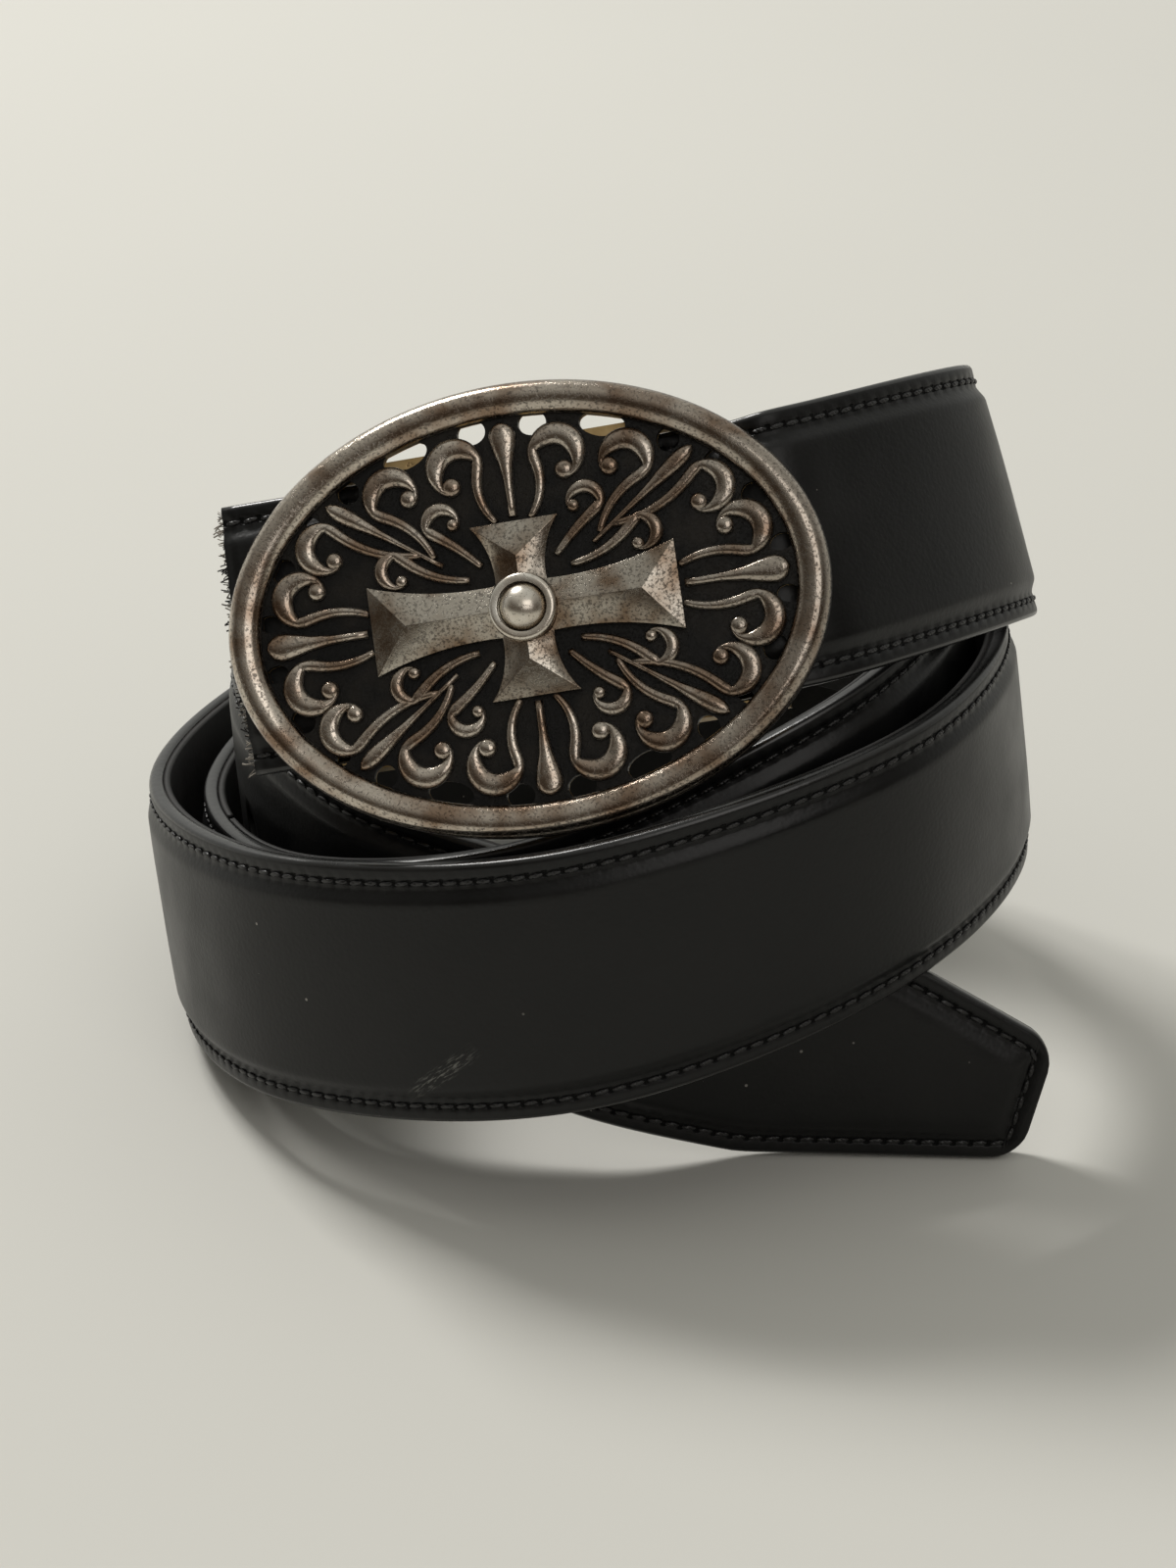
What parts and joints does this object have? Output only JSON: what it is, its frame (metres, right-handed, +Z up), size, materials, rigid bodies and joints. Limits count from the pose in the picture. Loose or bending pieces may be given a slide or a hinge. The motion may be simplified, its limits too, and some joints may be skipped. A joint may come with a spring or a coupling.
{
  "type": "leather belt",
  "caption": "Rolled black leather belt, padded and edge-stitched, with an oval openwork plate buckle and a toothed clamp behind it.",
  "frame": {"origin": "on the floor plane under the middle of the coil's outline", "axes": "+Z up, -Y towards the buckle's side, +X to the viewer's right when the buckle faces the viewer"},
  "size_m": [0.1352, 0.1406, 0.1125],
  "materials": {
    "black_leather": "smooth black semi-matt leather with a painted edge",
    "padding": "pressed fibre padding",
    "lining_leather": "smooth dark grey lining",
    "black_thread": "black sewing thread",
    "antique_silver": "antique silver plate, darkened in the recesses",
    "brass_back": "plain brass",
    "steel_pin": "turned steel"
  },
  "bodies": {
    "belt": {"face_leather": "black_leather", "padding_strip": "padding", "lining": "lining_leather", "edge_stitching": "black_thread", "buckle_casting": "antique_silver", "cross": "antique_silver", "boss_ring": "antique_silver", "boss_rivet": "antique_silver", "clamp_rail_upper": "brass_back", "clamp_rail_lower": "brass_back", "flap_pin": "steel_pin"},
    "flap": {"clamp_flap": "brass_back", "hook_prong": "brass_back"}
  },
  "joints": [
    {"name": "clamp_flap_hinge", "type": "hinge", "parent": "belt", "child": "flap", "pos_m": [0.00545, -0.03579, 0.08443], "axis": [0.1379, -0.4975, -0.8564], "range_deg": [0, 100]}
  ]
}
